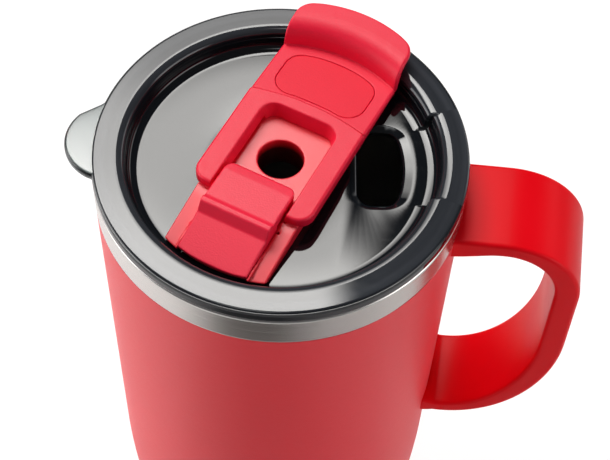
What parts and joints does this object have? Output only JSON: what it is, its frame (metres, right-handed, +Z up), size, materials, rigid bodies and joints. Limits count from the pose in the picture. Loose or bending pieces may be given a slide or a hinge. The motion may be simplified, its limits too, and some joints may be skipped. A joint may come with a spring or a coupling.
{
  "type": "insulated travel mug",
  "caption": "Double-wall insulated travel mug with a strap handle and a push-in clear lid carrying a rotating closure bar, thumb tab and straw-port slider.",
  "frame": {"origin": "centre of the foot pad's contact face, on the body's axis", "axes": "+Z up along the body's axis, +X towards the handle"},
  "size_m": [0.1392, 0.098, 0.2104],
  "materials": {
    "coat_red": "fine matte powder coat",
    "brushed_band": "brushed round the rim",
    "plain_steel": "plain rolled steel",
    "copper_foil": "bright copper foil",
    "foot_rubber": "matte grey-black",
    "gloss_red": "glossy moulded",
    "smoke_clear": "smoked clear, polished",
    "silicone": "translucent silicone",
    "rotor_red": "glossy moulded",
    "cover_red": "fine matte texture",
    "badge_red": "satin"
  },
  "bodies": {
    "mug": {"outer_shell": "coat_red", "inner_liner": "brushed_band", "base_cap": "plain_steel", "vacuum_seal": "plain_steel", "getter": "plain_steel", "reflector_foil": "copper_foil", "foot_pad": "foot_rubber", "handle_strap": "gloss_red", "bracket_upper": "plain_steel", "bracket_lower": "plain_steel", "handle_screws": "plain_steel"},
    "lid": {"lid_body": "smoke_clear", "lid_gasket": "silicone"},
    "closure_bar": {"rotor_base": "rotor_red", "hub_seal": "silicone", "drink_pad": "silicone", "hub_retainer": "rotor_red", "cover_frame": "cover_red", "cover_badge": "badge_red"},
    "slider": {"straw_slider": "cover_red", "slider_seal": "silicone"}
  },
  "joints": [
    {"name": "lid_lift", "type": "slide", "parent": "mug", "child": "lid", "axis": [0, 0, 1], "range_m": [0, 0.06]},
    {"name": "bar_turn", "type": "hinge", "parent": "lid", "child": "closure_bar", "pos_m": [0, 0, 0.205], "axis": [0, 0, 1], "range_deg": [-63, 27]},
    {"name": "straw_slide", "type": "slide", "parent": "closure_bar", "child": "slider", "axis": [0.342, 0.9397, 0], "range_m": [0, 0.0168]}
  ]
}
